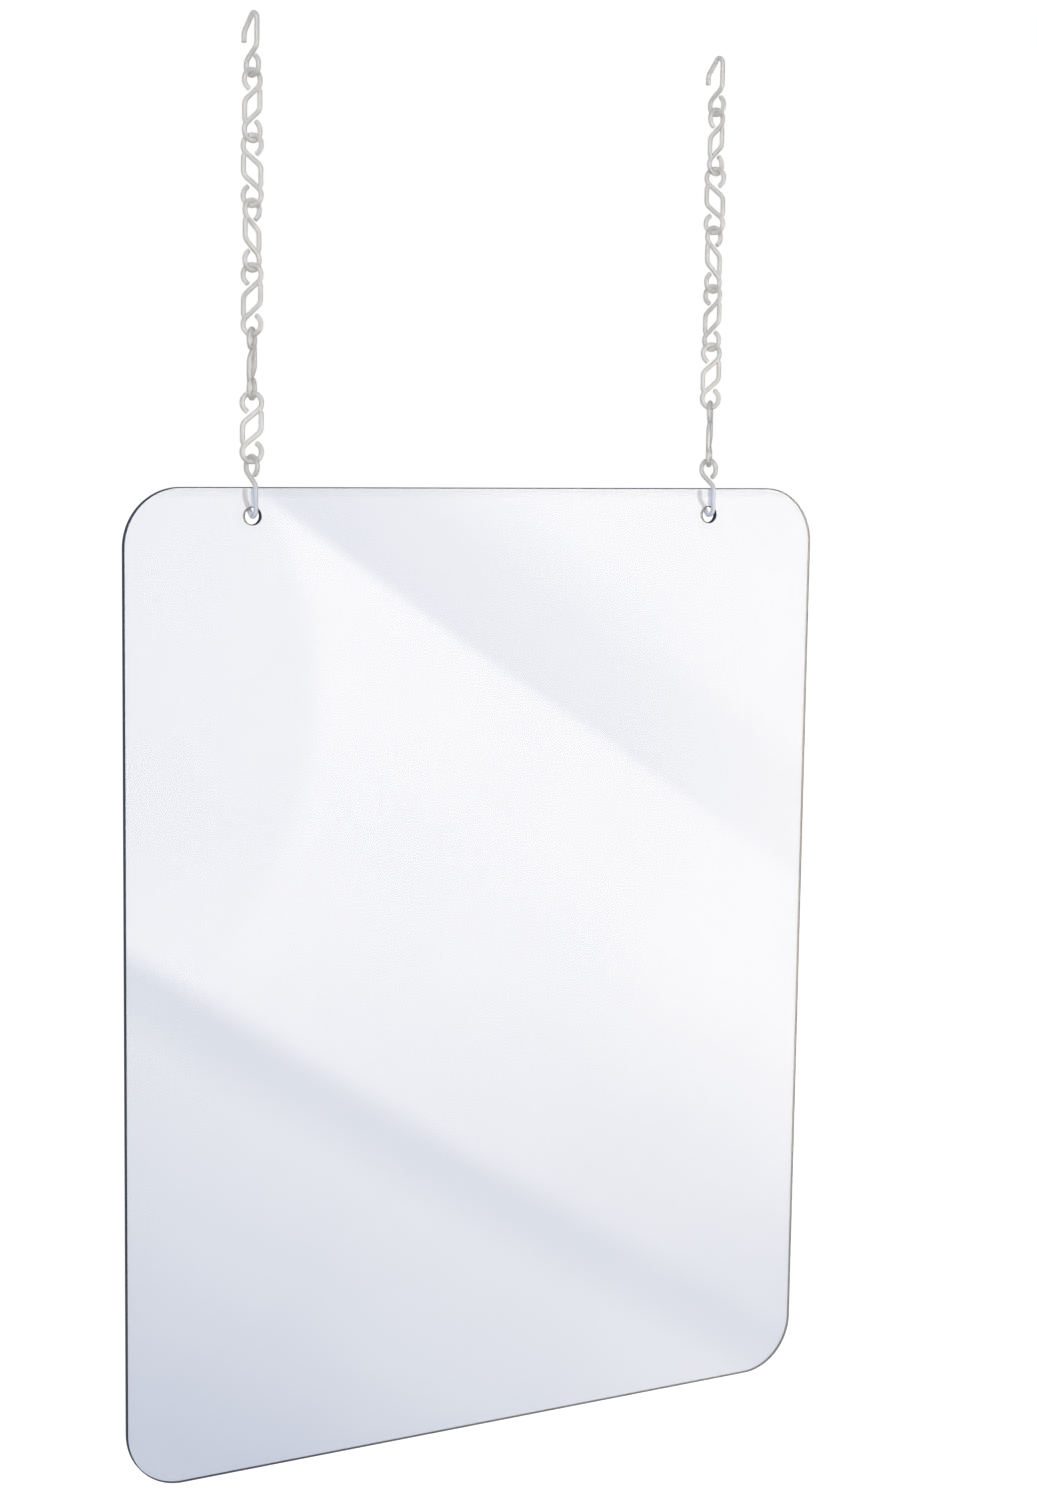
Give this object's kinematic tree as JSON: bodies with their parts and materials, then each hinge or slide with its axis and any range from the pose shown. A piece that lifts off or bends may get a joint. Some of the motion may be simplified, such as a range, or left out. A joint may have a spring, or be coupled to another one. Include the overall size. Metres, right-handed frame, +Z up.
{
  "type": "hanging sneeze guard",
  "caption": "Clear rounded rectangular panel hung by two drilled holes from two chains of plastic open links with an end hook at each end.",
  "frame": {"origin": "midway between the two ceiling hooks, at the height of the edge that they hang from", "axes": "+X along the panel to the right as the customer sees it, -Y towards the customer, +Z up along the chains"},
  "size_m": [0.61, 0.0204, 1.1081],
  "materials": {
    "panel_acrylic": "clear, polished, faintly blue",
    "link_plastic": "translucent white, smooth moulded",
    "hook_plastic": "translucent white, smooth moulded"
  },
  "bodies": {
    "ceiling_hooks": {"left_ceiling_hook": "hook_plastic", "right_ceiling_hook": "hook_plastic"},
    "left_link_1": {"left_link_1": "link_plastic"},
    "left_chain": {"left_link_2": "link_plastic", "left_link_3": "link_plastic", "left_link_4": "link_plastic", "left_link_5": "link_plastic"},
    "left_link_6": {"left_link_6": "link_plastic"},
    "right_link_1": {"right_link_1": "link_plastic"},
    "right_chain": {"right_link_2": "link_plastic", "right_link_3": "link_plastic", "right_link_4": "link_plastic", "right_link_5": "link_plastic"},
    "right_link_6": {"right_link_6": "link_plastic"},
    "panel": {"panel": "panel_acrylic", "left_panel_hook": "hook_plastic", "right_panel_hook": "hook_plastic"}
  },
  "joints": [
    {"name": "left_swing", "type": "hinge", "parent": "ceiling_hooks", "child": "left_link_1", "pos_m": [-0.203, 0, -0.03065], "axis": [1, 0, 0], "range_deg": [-30, 30]},
    {"name": "left_sway", "type": "hinge", "parent": "left_link_1", "child": "left_chain", "pos_m": [-0.203, 0, -0.0775], "axis": [0, 1, 0], "range_deg": [-8, 8]},
    {"name": "left_sway_level", "type": "hinge", "parent": "left_chain", "child": "left_link_6", "pos_m": [-0.203, 0, -0.27017], "axis": [0, 1, 0], "range_deg": [-8, 8]},
    {"name": "right_swing", "type": "hinge", "parent": "ceiling_hooks", "child": "right_link_1", "pos_m": [0.203, 0, -0.03065], "axis": [1, 0, 0], "range_deg": [-30, 30]},
    {"name": "right_sway", "type": "hinge", "parent": "right_link_1", "child": "right_chain", "pos_m": [0.203, 0, -0.0775], "axis": [0, 1, 0], "range_deg": [-8, 8]},
    {"name": "right_sway_level", "type": "hinge", "parent": "right_chain", "child": "right_link_6", "pos_m": [0.203, 0, -0.27017], "axis": [0, 1, 0], "range_deg": [-8, 8]},
    {"name": "panel_tilt", "type": "hinge", "parent": "left_link_6", "child": "panel", "pos_m": [-0.203, 0, -0.3223], "axis": [1, 0, 0], "range_deg": [-9, 9]}
  ],
  "couplings": [
    {"joint": "left_sway_level", "follows": "left_sway", "ratio": -1},
    {"joint": "right_swing", "follows": "left_swing", "ratio": 1},
    {"joint": "right_sway", "follows": "left_sway", "ratio": 1},
    {"joint": "right_sway_level", "follows": "left_sway", "ratio": -1}
  ]
}
